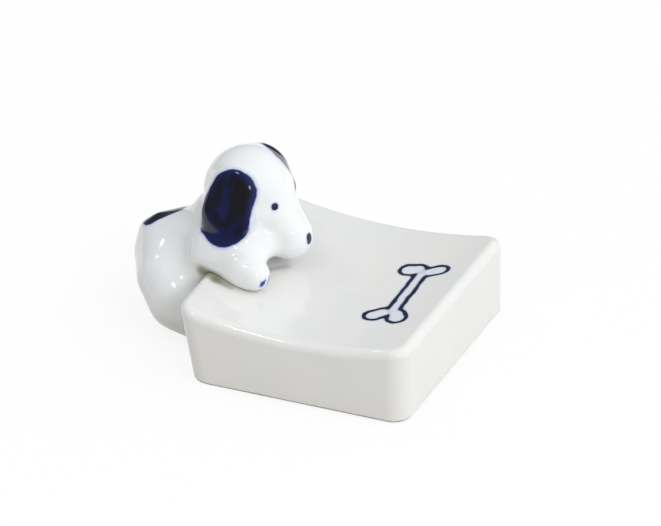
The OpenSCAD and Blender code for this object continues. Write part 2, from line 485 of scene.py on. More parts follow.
class GlazeGroups:
    """The node groups that the glazes share, each built once.

    Attributes:
        FINE_SIZE: The fine ripple's span, as a share of the slow one's.
        BLOTS: The noise at which blots of tone start, and at which they are full.
        MARK_DEPTH: How far behind its own surface a mark still shows, in millimetres.
        SHAKE_SIZE: The span of the shaking of a mark's edge, in bleed widths.
        SOFT_EDGE: Half the width of the paint's soft edge, in bleed widths.
        BLEED_REACH: How far the bleed runs, in bleed widths.
        STREAK_LENGTH: The scale of the coordinates along the streaks.
        PATCHES: The noise at which the paint starts to thicken, and at which it lies at full thickness.
        THINNEST: How thick the paint lies in its thinnest streaks, as a share.
        flow: Ripple and tone of a glaze that has run and gathered.
        stroke: Distance to a short stroke of the brush.
        cobalt: How cobalt lies within a mark: paint, bleed and thickness.
    """

    FINE_SIZE = 0.16
    BLOTS = (0.3, 0.7)
    MARK_DEPTH = 3.0
    SHAKE_SIZE = 5.0
    SOFT_EDGE = 0.42
    BLEED_REACH = 2.1
    STREAK_LENGTH = 0.55
    PATCHES = (0.32, 0.50)
    THINNEST = 0.25

    def __init__(self) -> None:
        """Builds the groups."""
        self.flow = self._flow()
        self.stroke = self._stroke()
        self.cobalt = self._cobalt()

    def _flow(self) -> bpy.types.NodeTree:
        """Builds the flow of the glaze: a slow ripple, a fine one, and blots of tone.

        Returns:
            The group.
        """
        inputs = {"Place": "Vector", "Ripple Size": "Float", "Fine Share": "Float", "Tone Size": "Float"}
        desk, takes, gives = new_group("glaze_flow", inputs, ("Ripple", "Tone"))
        place, size = takes["Place"], takes["Ripple Size"]
        slow = desk.cloud(place, size, detail=1.0)
        fine = desk.cloud(place, desk.sum("MULTIPLY", size, self.FINE_SIZE), detail=1.0)
        desk.feed(gives["Ripple"], desk.sum("MULTIPLY_ADD", fine, takes["Fine Share"], slow))
        desk.feed(gives["Tone"], desk.ramp(desk.cloud(place, takes["Tone Size"]), *self.BLOTS))
        return desk.tree

    def _stroke(self) -> bpy.types.NodeTree:
        """Builds the distance to a stroke: a short line with a width at each end, on its own side only.

        Returns:
            The group.
        """
        inputs = dict.fromkeys(("Place", "Start", "End", "Facing"), "Vector")
        inputs |= dict.fromkeys(("Half Width", "Half End"), "Float")
        desk, takes, gives = new_group("brush_stroke", inputs, ("Distance",))
        facing = takes["Facing"]
        ray = desk.vector("SUBTRACT", takes["Place"], takes["Start"])
        above = desk.vector("DOT_PRODUCT", ray, facing)
        behind = desk.sum("MULTIPLY_ADD", above, -1.0, -self.MARK_DEPTH * MM)
        reach = self._flattened(desk, ray, facing)
        line = self._flattened(desk, desk.vector("SUBTRACT", takes["End"], takes["Start"]), facing)
        dots = desk.vector("DOT_PRODUCT", reach, line), desk.vector("DOT_PRODUCT", line, line)
        along = desk.sum("DIVIDE", *dots, clamp=True)
        aside = desk.vector("LENGTH", desk.vector("SUBTRACT", reach, desk.scaled(line, along)))
        widened = desk.sum("SUBTRACT", takes["Half End"], takes["Half Width"])
        half = desk.sum("MULTIPLY_ADD", along, widened, takes["Half Width"])
        desk.feed(gives["Distance"], desk.sum("MAXIMUM", desk.sum("SUBTRACT", aside, half), behind))
        return desk.tree

    def _flattened(self, desk: Palette, vector: Socket, facing: Socket) -> Socket:
        """Drops from a vector what lies along a direction, so that a mark is seen along it."""
        along = desk.scaled(facing, desk.vector("DOT_PRODUCT", vector, facing))
        return desk.vector("SUBTRACT", vector, along)

    def _cobalt(self) -> bpy.types.NodeTree:
        """Builds how cobalt lies inside a mark, from the distance to the mark's edge.

        Returns:
            The group.
        """
        inputs = {"Place": "Vector"}
        inputs |= dict.fromkeys(("Distance", "Bleed Width", "Body Width", "Streak Size"), "Float")
        desk, takes, gives = new_group("brushed_cobalt", inputs, ("Paint", "Bleed", "Thickness"))
        place, bleed = takes["Place"], takes["Bleed Width"]
        shaky = desk.cloud(place, desk.sum("MULTIPLY", bleed, self.SHAKE_SIZE))
        edge = desk.sum("MULTIPLY_ADD", desk.sum("SUBTRACT", shaky, 0.5), bleed, takes["Distance"])
        soft = desk.sum("MULTIPLY", bleed, self.SOFT_EDGE)
        desk.feed(gives["Paint"], desk.ramp(edge, desk.sum("MULTIPLY", soft, -1.0), soft, 1.0, 0.0))
        reach = desk.sum("MULTIPLY", bleed, self.BLEED_REACH)
        desk.feed(gives["Bleed"], desk.ramp(edge, 0.0, reach, 1.0, 0.0))
        inward = desk.ramp(edge, desk.sum("MULTIPLY", takes["Body Width"], -1.0), 0.0, 1.0, 0.0)
        drawn = desk.vector("MULTIPLY", place, (1.0, 1.0, self.STREAK_LENGTH))
        patchy = desk.ramp(desk.cloud(drawn, takes["Streak Size"], detail=3.0, rough=0.55), *self.PATCHES)
        paint_strength = desk.sum("MULTIPLY_ADD", patchy, 1.0 - self.THINNEST, self.THINNEST)
        desk.feed(gives["Thickness"], desk.sum("MULTIPLY", inward, paint_strength))
        return desk.tree


# Finishes


@dataclass(frozen=True)
class Ground:
    """What a finish is mixed on.

    Attributes:
        desk: The material's palette.
        groups: The shared node groups.
        place: The coordinates.
    """

    desk: Palette
    groups: GlazeGroups
    place: Socket


@dataclass(frozen=True)
class Stroke:
    """A mark of the brush: a dot, a short line, or a patch filled in between two widths.

    Attributes:
        start: Where the brush was set down, in millimetres.
        end: Where it was lifted.
        width: The mark's width at its start.
        end_width: Its width at its end, or nothing if it keeps the same.
        facing: The direction that it is seen along, or nothing for a round mark.
    """

    start: Triple
    end: Triple
    width: float
    end_width: Optional[float] = None
    facing: Triple = (0.0, 0.0, 0.0)

    def distance(self, ground: Ground) -> Socket:
        """Gives the distance to this mark's edge, in metres.

        Args:
            ground: What it is painted on.

        Returns:
            The distance, below zero inside the mark.
        """
        end_width = self.width if self.end_width is None else self.end_width
        feeds = {
            "Place": ground.place, "Start": metres(self.start), "End": metres(self.end),
            "Facing": Vector(self.facing).normalized(),
            "Half Width": self.width * MM / 2, "Half End": end_width * MM / 2,
        }
        return ground.desk.add("Group", feeds, node_tree=ground.groups.stroke).outputs["Distance"]

    def through(self, mirror: Mirror) -> "Stroke":
        """Gives the same mark on the other side of a mirror."""
        start, end = mirror.point(self.start), mirror.point(self.end)
        return replace(self, start=start, end=end, facing=mirror.direction(self.facing))


@dataclass(frozen=True)
class BoneDrawing:
    """A plain outline of a bone, brushed on the block's top. Sizes are in millimetres.

    Attributes:
        shaft: The stroke whose outline is the shaft.
        knuckles: The four strokes whose outlines are the knuckles.
        fillet: How far shaft and knuckles run into each other.
        line: The brush line's width.
        press: How much the line's width varies, as a share.
        press_size: The span of its thick and thin stretches.
        wobble: How far the hand wobbles.
        wobble_size: The span of the wobble.
        wash: The faint wash inside the outline.
        wash_strength: How strongly it shows.
        wash_edge: Where it fades, from inside the outline to outside.
    """

    shaft: Stroke = Stroke((21.4, -7.0, 0.0), (21.0, 6.2, 0.0), 2.0)
    knuckles: tuple[Stroke, ...] = (
        Stroke((18.8, -9.6, 0.0), (19.9, -8.2, 0.0), 3.3, 2.9),
        Stroke((23.1, -9.9, 0.0), (22.4, -8.3, 0.0), 3.3, 2.9),
        Stroke((18.6, 7.4, 0.0), (19.6, 7.9, 0.0), 3.7, 3.3),
        Stroke((22.2, 7.3, 0.0), (23.6, 8.2, 0.0), 2.9, 3.1),
    )
    fillet: float = 1.3
    line: float = 0.72
    press: float = 0.4
    press_size: float = 2.6
    wobble: float = 0.55
    wobble_size: float = 3.5
    wash: Triple = (0.62, 0.68, 0.78)
    wash_strength: float = 0.32
    wash_edge: tuple[float, float] = (-0.6, 0.2)

    def distance(self, ground: Ground) -> Socket:
        """Gives the distance to the line's edge, in metres.

        Args:
            ground: What it is painted on.

        Returns:
            The distance, below zero inside the line.
        """
        desk, varies = ground.desk, self.press * self.line * MM
        outline = desk.sum("ABSOLUTE", self.within(ground))
        pressed = desk.cloud(ground.place, self.press_size * MM, 1.0)
        varied = desk.sum("MULTIPLY_ADD", pressed, varies, -0.5 * varies)
        return desk.sum("SUBTRACT", outline, desk.sum("ADD", self.line * MM / 2, varied))

    def within(self, ground: Ground) -> Socket:
        """Gives the distance to the bone's outline.

        Args:
            ground: What it is painted on.

        Returns:
            The distance, below zero inside the bone.
        """
        desk, seen_from_above = ground.desk, (1.0, 1.0, 0.0)
        flat = desk.vector("MULTIPLY", ground.place, seen_from_above)
        shaken = desk.noise(flat, self.wobble_size * MM, 1.0).outputs["Color"]
        shift = desk.scaled(desk.vector("SUBTRACT", shaken, (0.5, 0.5, 0.5)), self.wobble * MM)
        moved = desk.vector("MULTIPLY", desk.vector("ADD", flat, shift), seen_from_above)
        drawn = replace(ground, place=moved)
        merged = self.shaft.distance(drawn)
        for knuckle in self.knuckles:
            merged = desk.sum("SMOOTH_MIN", merged, knuckle.distance(drawn), self.fillet * MM)
        return merged

    def washed(self, ground: Ground, colour: Socket) -> Socket:
        """Fills the outline with the faint wash.

        Args:
            ground: What it is painted on.
            colour: The colour below.

        Returns:
            The colour with the wash on it.
        """
        start, end = (edge * MM for edge in self.wash_edge)
        inside = ground.desk.ramp(self.within(ground), start, end, self.wash_strength, 0.0)
        return ground.desk.tint(inside, colour, opaque(self.wash))


Mark = Union[Stroke, BoneDrawing]


@dataclass(frozen=True)
class PorcelainGlaze:
    """Clear glaze over white clay.

    Attributes:
        clay: The body's colour through the glaze.
        cool: The tone of the blots where the glaze lies thicker.
        gloss: The roughness of a fired glaze, smooth and less so.
        ripple_size: The span of its slow ripple, in millimetres.
        ripple_depth: The ripple's depth.
        fine_share: The fine ripple's depth, as a share of the slow one's.
        tone_size: The span of its blots of tone.
        ior: Its index of refraction.
    """

    clay: Triple = (0.82, 0.826, 0.828)
    cool: Triple = (0.79, 0.81, 0.83)
    gloss: tuple[float, float] = (0.045, 0.1)
    ripple_size: float = 9.0
    ripple_depth: float = 0.22
    fine_share: float = 0.05
    tone_size: float = 14.0
    ior: float = 1.52


@dataclass(frozen=True)
class CobaltPaint:
    """Cobalt brushed on under the glaze.

    Attributes:
        core: Its colour where it lies thickest.
        blue: Its colour near the edge and in thin streaks.
        bleed: The pale blue that runs into the glaze round it.
        bleed_width: How far that runs, in millimetres.
        body_width: How far inside its edge it is at its thickest.
        streak: The span of its streaks.
        bleed_strength: How strongly the pale blue shows.
    """

    core: Triple = (0.0065, 0.0052, 0.0086)
    blue: Triple = (0.0085, 0.0125, 0.092)
    bleed: Triple = (0.34, 0.45, 0.75)
    bleed_width: float = 0.3
    body_width: float = 1.3
    streak: float = 4.2
    bleed_strength: float = 0.5

    def brushed(self, ground: Ground, colour: Socket, marks: list[Mark]) -> Socket:
        """Brushes marks over a colour.

        Args:
            ground: What they are painted on.
            colour: The colour below.
            marks: Where the paint is brushed.

        Returns:
            The colour with the marks on it.
        """
        desk = ground.desk
        nearest = marks[0].distance(ground)
        for mark in marks[1:]:
            nearest = desk.sum("MINIMUM", nearest, mark.distance(ground))
        feeds = {
            "Place": ground.place, "Distance": nearest, "Bleed Width": self.bleed_width * MM,
            "Body Width": self.body_width * MM, "Streak Size": self.streak * MM,
        }
        lies = desk.add("Group", feeds, node_tree=ground.groups.cobalt).outputs
        faint = desk.sum("MULTIPLY", lies["Bleed"], self.bleed_strength)
        haloed = desk.tint(faint, colour, opaque(self.bleed))
        pigment = desk.tint(lies["Thickness"], opaque(self.blue), opaque(self.core))
        return desk.tint(lies["Paint"], haloed, pigment)


Painting = list[tuple[CobaltPaint, list[Mark]]]


@dataclass(frozen=True)
class PaintedCreaseShade:
    """Greenish dark painted in the creases between puppy and block and under the muzzle: painted shade where
    these lie in shadow, tinted like glaze gathered there.

    Attributes:
        colour: The painted shade's colour where it is darkest.
        shade_strokes: The strokes of painted shade along the creases, the last one under the muzzle.
        spread: How far the painted shade fades out at their edges, in millimetres.
        strength: How strongly it shows.
    """

    colour: Triple = (0.24, 0.235, 0.12)
    shade_strokes: tuple[Stroke, ...] = (
        Stroke((-12.8, -8.8, 13.4), (-9.6, -10.8, 13.6), 2.6, 1.5),
        Stroke((-9.6, -10.8, 13.6), (-6.4, -11.5, 13.3), 1.5, 0.5),
        # Painted shadow on the block's top under the muzzle
        Stroke((-3.3, -2.2, 12.9), (-1.2, 0.4, 12.7), 0.9, 0.7),
    )
    spread: float = 0.8
    strength: float = 0.85

    def run(self, ground: Ground, colour: Socket) -> Socket:
        """Paints the shade of the creases over a colour.

        Args:
            ground: What it is painted on.
            colour: The colour below.

        Returns:
            The colour with the painted shade on it.
        """
        edge = self.spread * MM
        for shade_stroke in self.shade_strokes:
            paint_strength = ground.desk.ramp(shade_stroke.distance(ground), -edge, edge, self.strength, 0.0)
            colour = ground.desk.tint(paint_strength, colour, opaque(self.colour))
        return colour


@dataclass(frozen=True)
class BareFoot:
    """The ring that the rest stands on, wiped clean of glaze before firing, and darker along the bottom edge,
    partly as painted contact shade. Sizes are in millimetres.

    Attributes:
        colour: The bare clay's colour, darkened partly as painted contact shade.
        grime_and_shade: Its colour in darker spots, part dirt that it has picked up and part painted contact
            shade.
        lowest: How far up the clay is bare where it is least.
        waver: How much more it is at most.
        waver_size: The span of its ups and downs.
        edge: Half the width of the glaze's soft edge.
        grain: The span of the darker spots.
        grime_and_shade_range: The noise at which the darker spots start, and at which they are full.
        roughness: The bare clay's roughness.
    """

    colour: Triple = (0.56, 0.52, 0.44)
    grime_and_shade: Triple = (0.30, 0.28, 0.21)
    lowest: float = 0.33
    waver: float = 0.35
    waver_size: float = 3.0
    edge: float = 0.06
    grain: float = 0.35
    grime_and_shade_range: tuple[float, float] = (0.4, 0.65)
    roughness: float = 0.7

    def wiped(self, ground: Ground, colour: Socket, rough: Socket) -> tuple[Socket, Socket]:
        """Wipes the glaze off the foot.

        Args:
            ground: What is wiped.
            colour: The glazed colour.
            rough: The glazed roughness.

        Returns:
            The colour and roughness with the bare foot.
        """
        desk = ground.desk
        up = desk.add("SeparateXYZ", (ground.place,)).outputs["Z"]
        waves = desk.cloud(ground.place, self.waver_size * MM)
        wavy = desk.sum("MULTIPLY_ADD", waves, self.waver * MM, self.lowest * MM)
        bare = desk.ramp(desk.sum("SUBTRACT", up, wavy), -self.edge * MM, self.edge * MM, 1.0, 0.0)
        # Darker spots on the bare foot: part dirt, part painted contact shade
        grainy = desk.ramp(desk.cloud(ground.place, self.grain * MM, 3.0, 0.6), *self.grime_and_shade_range)
        clay = desk.tint(grainy, opaque(self.colour), opaque(self.grime_and_shade))
        return desk.tint(bare, colour, clay), desk.mixed("Float", bare, rough, self.roughness)


@dataclass
class Kiln:
    """Fires materials: glaze over clay, with cobalt marks, painted crease shade and perhaps a bare foot.

    Attributes:
        groups: The shared node groups.
        glaze: The clear glaze.
        crease_shade: Greenish painted shade in the creases between puppy and block, and under the muzzle.
        foot: The bare foot.
    """

    groups: GlazeGroups
    glaze: PorcelainGlaze = field(default_factory=PorcelainGlaze)
    crease_shade: PaintedCreaseShade = field(default_factory=PaintedCreaseShade)
    foot: Optional[BareFoot] = None

    def fire(self, name: str, painting: Painting, wash: Optional[BoneDrawing] = None) -> bpy.types.Material:
        """Makes a material.

        Args:
            name: Its name.
            painting: The cobalt marks, with the paint that they are brushed with.
            wash: A drawing that is filled with a faint wash, if there is one.

        Returns:
            The material.
        """
        material = bpy.data.materials.new(name)
        material.use_nodes = True
        desk, glaze = Palette(material.node_tree), self.glaze
        ground = Ground(desk, self.groups, desk.place())
        feeds = {
            "Place": ground.place, "Ripple Size": glaze.ripple_size * MM,
            "Fine Share": glaze.fine_share, "Tone Size": glaze.tone_size * MM,
        }
        flow = desk.add("Group", feeds, node_tree=self.groups.flow).outputs
        colour = desk.tint(flow["Tone"], opaque(glaze.clay), opaque(glaze.cool))
        rough = desk.ramp(flow["Tone"], 0.0, 1.0, *glaze.gloss)
        if wash is not None:
            colour = wash.washed(ground, colour)
        # Greenish painted shade in the creases between puppy and block, and under the muzzle
        colour = self.crease_shade.run(ground, colour)
        for paint, marks in painting:
            colour = paint.brushed(ground, colour, marks)
        if self.foot is not None:
            colour, rough = self.foot.wiped(ground, colour, rough)
        ripple = desk.add("Bump", {"Distance": glaze.ripple_depth * MM, "Height": flow["Ripple"]})
        shader = next(n for n in desk.tree.nodes if n.type == "BSDF_PRINCIPLED")
        desk.feed(shader.inputs["Base Color"], colour)
        desk.feed(shader.inputs["Roughness"], rough)
        desk.feed(shader.inputs["Normal"], ripple.outputs["Normal"])
        shader.inputs["IOR"].default_value = glaze.ior
        return material


# The block


@dataclass
class Block:
    """The low block that the chopsticks lie on. Sizes are in millimetres.

    Attributes:
        kiln: What fires its glaze.
        glaze: Its own glaze, a little duller than the puppy's: the same porcelain painted darker and warmer,
            as painted shade for the less lit block.
        ink: The cobalt that its drawing is lined with.
        left: The x of its foot on the puppy's side.
        right: The x of its other side.
        half_width: Half its width, along y.
        height: Its height at the two ends of the saddle.
        lean: How far the puppy's side leans out at the top.
        sag: How deep the saddle is.
        columns: In how many strips the saddle is bent.
        corner: The radius of its upright corners.
        strip_start: Where the strips start, in corner radii from the block's ends.
        rim: The radius of its top rim.
        foot_edge: The radius of its foot's edge.
        ring: The width of the ring that it stands on.
        hollow: The depth of the hollow inside the ring.
        draft: How far the hollow's walls lean in.
        hollow_edge: The radius of the hollow's edges.
        overrun: How far the plug that presses the hollow stands out below.
        level: How upright a face's normal is, at least, on the top and the foot.
    """

    kiln: Kiln
    # The same porcelain as the puppy's, painted a little darker and warmer as painted shade
    glaze: PorcelainGlaze = PorcelainGlaze(clay=(0.80, 0.788, 0.765), cool=(0.78, 0.782, 0.775))
    ink: CobaltPaint = CobaltPaint(
        core=(0.006, 0.0075, 0.022), blue=(0.012, 0.02, 0.09), bleed=(0.36, 0.47, 0.74),
        bleed_width=0.2, body_width=0.16, streak=1.6, bleed_strength=0.55,
    )
    left: float = -9.58
    right: float = 29.92
    half_width: float = 22.75
    height: float = 14.2
    lean: float = 2.8
    sag: float = 2.5
    columns: int = 32
    corner: float = 3.3
    strip_start: float = 1.1
    rim: float = 1.8
    foot_edge: float = 0.7
    ring: float = 5.0
    hollow: float = 6.4
    draft: float = 1.2
    hollow_edge: float = 0.9
    overrun: float = 1.0
    level: float = 0.8

    def build(self) -> Piece:
        """Models the block.

        Returns:
            The finished block.
        """
        middle = ((self.left + self.right) / 2, 0.0, self.height / 2)
        slab = cuboid("saddle_block", middle, (self.right - self.left, 2 * self.half_width, self.height))
        self._round_corners(slab)
        self._strips(slab)
        self._bend(slab)
        self._round_face(slab, sign=1, radius=self.rim, segments=8)
        self._round_face(slab, sign=-1, radius=self.foot_edge, segments=4)
        self._hollow_out(slab)
        shade(slab)
        finished_with(slab, "WEIGHTED_NORMAL", weight=60, keep_sharp=True)
        return slab

    def _round_corners(self, slab: Piece) -> None:
        """Rounds the four upright corners.

        Args:
            slab: The block.
        """
        corners = slab.data.vertices

        def rise(edge: bpy.types.MeshEdge) -> float:
            """Gives the height between an edge's ends."""
            return abs(corners[edge.vertices[0]].co.z - corners[edge.vertices[1]].co.z)

        upright = [e.index for e in slab.data.edges if rise(e) > self.height * MM / 2]
        with chosen(slab, upright, "EDGE"):
            bpy.ops.mesh.bevel(offset=self.corner * MM, segments=9, affect="EDGES")

    def _strips(self, slab: Piece) -> None:
        """Cuts the slab into upright strips that the saddle can be bent in.

        Args:
            slab: The block.
        """
        inset = self.corner * self.strip_start
        start, end = self.left + inset, self.right - inset
        with editing(slab):
            for step in range(self.columns + 1):
                bpy.ops.mesh.select_all(action="SELECT")
                x = start + (end - start) * step / self.columns
                bpy.ops.mesh.bisect(plane_co=metres((x, 0.0, 0.0)), plane_no=(1.0, 0.0, 0.0))

    def _bend(self, slab: Piece) -> None:
        """Leans the puppy's side out and sinks the top into a saddle, strip by strip.

        Args:
            slab: The block.
        """
        strips: dict[float, list[int]] = {}
        for vertex in slab.data.vertices:
            if vertex.co.z > self.height * MM / 2:
                strips.setdefault(round(vertex.co.x / MM, 3), []).append(vertex.index)
        length = self.right - self.left
        for x, strip in strips.items():
            top_x = x - self.lean * (self.right - x) / length
            reach = 2 * (top_x - (self.left - self.lean)) / (length + self.lean) - 1
            with chosen(slab, strip, "VERT"):
                bpy.ops.transform.translate(value=metres((top_x - x, 0.0, -self.sag * (1 - reach * reach))))

    def _round_face(self, slab: Piece, sign: int, radius: float, segments: int) -> None:
        """Rounds the edge round the top or the foot.

        Args:
            slab: The block.
            sign: 1 for the top's rim and -1 for the foot.
            radius: The radius, in millimetres.
            segments: How many facets the rounding has.
        """
        mesh = slab.data
        counts: dict[tuple[int, int], int] = {}
        for face in mesh.polygons:
            for key in face.edge_keys if face.normal.z * sign > self.level else ():
                counts[key] = counts.get(key, 0) + 1
        rim = [e.index for e in mesh.edges if counts.get(tuple(sorted(e.vertices))) == 1]
        with chosen(slab, rim, "EDGE"):
            bpy.ops.mesh.bevel(offset=radius * MM, segments=segments, affect="EDGES")

    def _hollow_out(self, slab: Piece) -> None:
        """Presses the hollow into the underside with a tapered plug.

        Args:
            slab: The block.
        """
        middle = ((self.left + self.right) / 2, 0.0, (self.hollow - self.overrun) / 2)
        half_length = (self.right - self.left) / 2 - self.ring
        half_width = self.half_width - self.ring
        plug = cuboid("hollow_plug", middle, (2 * half_length, 2 * half_width, self.hollow + self.overrun))
        shrink = ((half_length - self.draft) / half_length, (half_width - self.draft) / half_width, 1.0)
        with chosen(plug, [p.index for p in plug.data.polygons if p.normal.z > self.level], "FACE"):
            bpy.ops.transform.resize(value=shrink, center_override=metres(middle))
        low = {v.index for v in plug.data.vertices if v.co.z < 0.0}
        with chosen(plug, [e.index for e in plug.data.edges if not low.issuperset(e.vertices)], "EDGE"):
            bpy.ops.mesh.bevel(offset=self.hollow_edge * MM, segments=5, affect="EDGES")
        combined(slab, "DIFFERENCE", plug)
        discard(plug)

    def dress(self, slab: Piece) -> None:
        """Glazes the block and paints the bone on its top.

        Args:
            slab: The block.
        """
        bone = BoneDrawing()
        kiln = replace(self.kiln, glaze=self.glaze, foot=BareFoot())
        slab.data.materials.clear()
        slab.data.materials.append(kiln.fire("block_glaze", [(self.ink, [bone])], wash=bone))
        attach(slab, "root")
        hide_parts("rest_block")


# The puppy


@dataclass(frozen=True)
class Ball:
    """A ball of clay at one end of a roll: its centre and radius in millimetres."""

    centre: Triple
    radius: float


def roll_of_clay(name: str, balls: Iterable[Ball]) -> Piece:
    """Rolls clay between balls: the tight skin round all of them.

    Args:
        name: The roll's name.
        balls: The balls that it spans, two at least.

    Returns:
        The roll.
    """
    made = []
    for ball in balls:
        bpy.ops.object.select_all(action="DESELECT")
        bpy.ops.mesh.primitive_uv_sphere_add(
            segments=64, ring_count=32, radius=ball.radius * MM, location=metres(ball.centre)
        )
        made.append(settle(bpy.context.active_object, f"{name}_ball"))
    whole = joined(made, name)
    with editing(whole):
        bpy.ops.mesh.convex_hull()
    return whole


@dataclass
class Puppy:
    """The puppy that leans on the block's edge. Sizes are in millimetres.

    Attributes:
        kiln: What fires its glaze.
        nodes: The CAD nodes by name.
        middle: The y of its middle plane.
        head: The plane that the head's halves mirror each other in, through the skull's middle.
        voxel: How finely the joined skin is worked.
        step: How far the skin is moved at a time while creases are filled.
        body_fill: How wide the fillets are in the body's creases.
        head_fill: How wide they are round the ears and muzzle.
        neck_fill: How wide they are where the head meets the body.
        polish: How many times the skin is smoothed.
        flank: How far the flanks' seats lie from the middle.
        ear_seat: How far the ears' seats lie from the head's middle, and how far up.
        ear_lean: The direction that the near ear's seat faces, as cosine and sine.
        head_forms: The CAD nodes of the head.
        body_forms: The CAD nodes of the body.
        cobalt_nodes: The nodes that are mostly painted; not used.
    """

    kiln: Kiln
    nodes: dict[str, Piece]
    middle: float = 2.6
    head: Mirror = Mirror((-9.2, 2.6, 24.59), 7.0)
    voxel: float = 0.25
    step: float = 0.5
    body_fill: float = 2.2
    head_fill: float = 0.6
    neck_fill: float = 1.4
    polish: int = 12
    flank: float = 5.68
    ear_seat: tuple[float, float] = (6.07, 1.85)
    ear_lean: tuple[float, float] = (0.956, 0.292)
    head_forms: tuple[str, ...] = ("head", "right_ear", "left_ear")
    body_forms: tuple[str, ...] = (
        "torso", "right_foreleg", "left_foreleg", "right_hind_leg", "left_hind_leg", "tail",
    )
    cobalt_nodes: tuple[str, ...] = ("right_ear", "left_ear", "tail")

    def copies(self, names: tuple[str, ...]) -> list[Piece]:
        """Copies some of the CAD nodes."""
        return [merged_copy_of(self.nodes[name], f"{name}_roll") for name in names]

    def rolls(self) -> list[Piece]:
        """Rolls the clay that fills out the back, the neck, the haunches, the shoulders and the jowls.

        Returns:
            The rolls.
        """
        y = self.middle
        rump, chest = Ball((-22.47, y, 9.31), 7.35), Ball((-14.14, y, 14.4), 6.27)
        withers, nape = Ball((-14.54, y, 17.7), 4.5), Ball((-10.8, y, 22.0), 5.4)
        made = [roll_of_clay("back_roll", (rump, chest)), roll_of_clay("neck_roll", (withers, nape))]
        for side in Side:
            out = side.value
            croup, hip = Ball((-22.47, y, 9.31), 7.3), Ball((-21.4, y + 7.15 * out, 8.7), 5.15)
            blade, elbow = Ball((-13.4, y + 6.6 * out, 16.0), 3.6), Ball((-8.0, y + 8.8 * out, 16.2), 3.0)
            cheek = Ball(self.head.place(1.4, 6.0 * out, -6.0), 3.9)
            lip = Ball(self.head.place(4.7, 4.6 * out, -7.1), 3.3)
            made.append(roll_of_clay("haunch_roll", (croup, hip)))
            made.append(roll_of_clay("shoulder_roll", (blade, elbow)))
            made.append(roll_of_clay("jowl_roll", (cheek, lip)))
        return made

    def fuse(self, block: Piece) -> Piece:
        """Joins the rolls, lets the glaze fill the creases, and fits the skin to the block.

        Args:
            block: The block that the puppy is seated on.

        Returns:
            One closed skin round the whole puppy.
        """
        trunk = joined(self.copies(self.body_forms) + self.rolls(), "puppy_body")
        self.fill(trunk, self.body_fill)
        top = joined(self.copies(self.head_forms), "puppy_top")
        self.fill(top, self.head_fill)
        skin = joined([trunk, top], "puppy_skin")
        self.fill(skin, self.neck_fill)
        finished_with(skin, "SMOOTH", factor=0.5, iterations=self.polish)
        combined(skin, "DIFFERENCE", block)
        return skin

    def fill(self, clay: Piece, width: float) -> None:
        """Makes one skin of what lies together, and fills its creases by swelling and shrinking it.

        Args:
            clay: The pieces, joined as one object.
            width: How wide the fillets in the creases are.
        """
        finished_with(clay, "REMESH", mode="VOXEL", voxel_size=self.voxel * MM)
        steps = math.ceil(width / self.step)
        for shift in [width / steps] * steps + [-width / steps] * steps:
            finished_with(clay, "DISPLACE", strength=shift * MM, mid_level=0.0, direction="NORMAL")
            finished_with(clay, "REMESH", mode="VOXEL", voxel_size=self.voxel * MM)

    def cutters(self) -> dict[str, Piece]:
        """Makes the cutting block of each piece but the torso.

        Returns:
            The blocks by node, in the order of cutting.
        """
        y, ahead, behind = self.middle, Keep.AHEAD, Keep.BEHIND
        (aside, up), (lean_out, lean_up) = self.ear_seat, self.ear_lean
        neck = (Seat((-11.19, y, 18.18), (0.616, 0.0, 0.788)), ahead)
        tail = (Seat((-27.34, y, 14.35), (-0.695, 0.0, 0.719)), ahead)
        elbow = (Seat((-12.9, y, 10.5), (0.49, 0.0, 0.872)), ahead)
        cheeks = {
            Side.RIGHT: (Seat((-8.85, -5.07, 17.27), (-0.011, -0.394, -0.919)), behind),
            Side.LEFT: (Seat((-8.69, 8.2, 18.1), (0.076, -0.109, -0.991)), behind),
        }
        flanks = {
            side: Seat((0.0, y + side.value * self.flank, 0.0), (0.0, float(side.value), 0.0))
            for side in Side
        }
        # From here on, the last two values only have to place each block past the clay that it parts
        made = {"tail": cutter("tail_cutter", [tail], (-29.0, y, 16.0), 16.0)}
        for side in Side:
            out, name = side.value, f"{side.name.lower()}_ear"
            facing = self.head.turned((0.0, out * lean_out, lean_up))
            ear = (Seat(self.head.place(0.0, out * aside, up), facing), ahead)
            made[name] = cutter("ear_cutter", [ear, cheeks[side]], (-9.9, y + out * 12, 26.0), 24.0)
        made["head"] = cutter("head_cutter", [neck, *cheeks.values()], (-6.0, y, 26.0), 40.0)
        between = [(seat, behind) for seat in flanks.values()]
        muzzle = cutter("muzzle_cutter", [neck, *between], (0.0, y, 20.0), 36.0)
        combined(made["head"], "UNION", muzzle)
        discard(muzzle)
        for side in Side:
            flank, middle = (flanks[side], ahead), y + side.value * 20
            legs = {
                "foreleg": ([flank, elbow], (-10.0, middle, 18.0)),
                "hind_leg": ([flank], (-20.0, middle, 12.0)),
            }
            for leg, (seats, place) in legs.items():
                made[f"{side.name.lower()}_{leg}"] = cutter(f"{leg}_cutter", seats, place, 44.0)
        return made

    def build(self, block: Piece) -> dict[str, Piece]:
        """Models the puppy.

        Args:
            block: The block that it leans on.

        Returns:
            Its pieces by the name of the CAD node that each stands for.
        """
        rest = self.fuse(block)
        pieces: dict[str, Piece] = {}
        for node, tool in self.cutters().items():
            pieces[node] = copy_of(rest, f"puppy_{node}")
            combined(pieces[node], "INTERSECT", tool)
            combined(rest, "DIFFERENCE", tool)
            discard(tool)
        rest.name = rest.data.name = "puppy_torso"
        pieces["torso"] = rest
        for piece in pieces.values():
            shade(piece)
        return pieces

    def ear_patch(self, ahead: float, up: float) -> list[Stroke]:
        """Gives the patch of cobalt on the near ear.

        Args:
            ahead: How far the patch is moved forwards.
            up: How far it is moved up.

        Returns:
            Its strokes.
        """
        lean_out, lean_up = self.ear_lean
        facing = self.head.turned((0.0, -lean_out, lean_up))

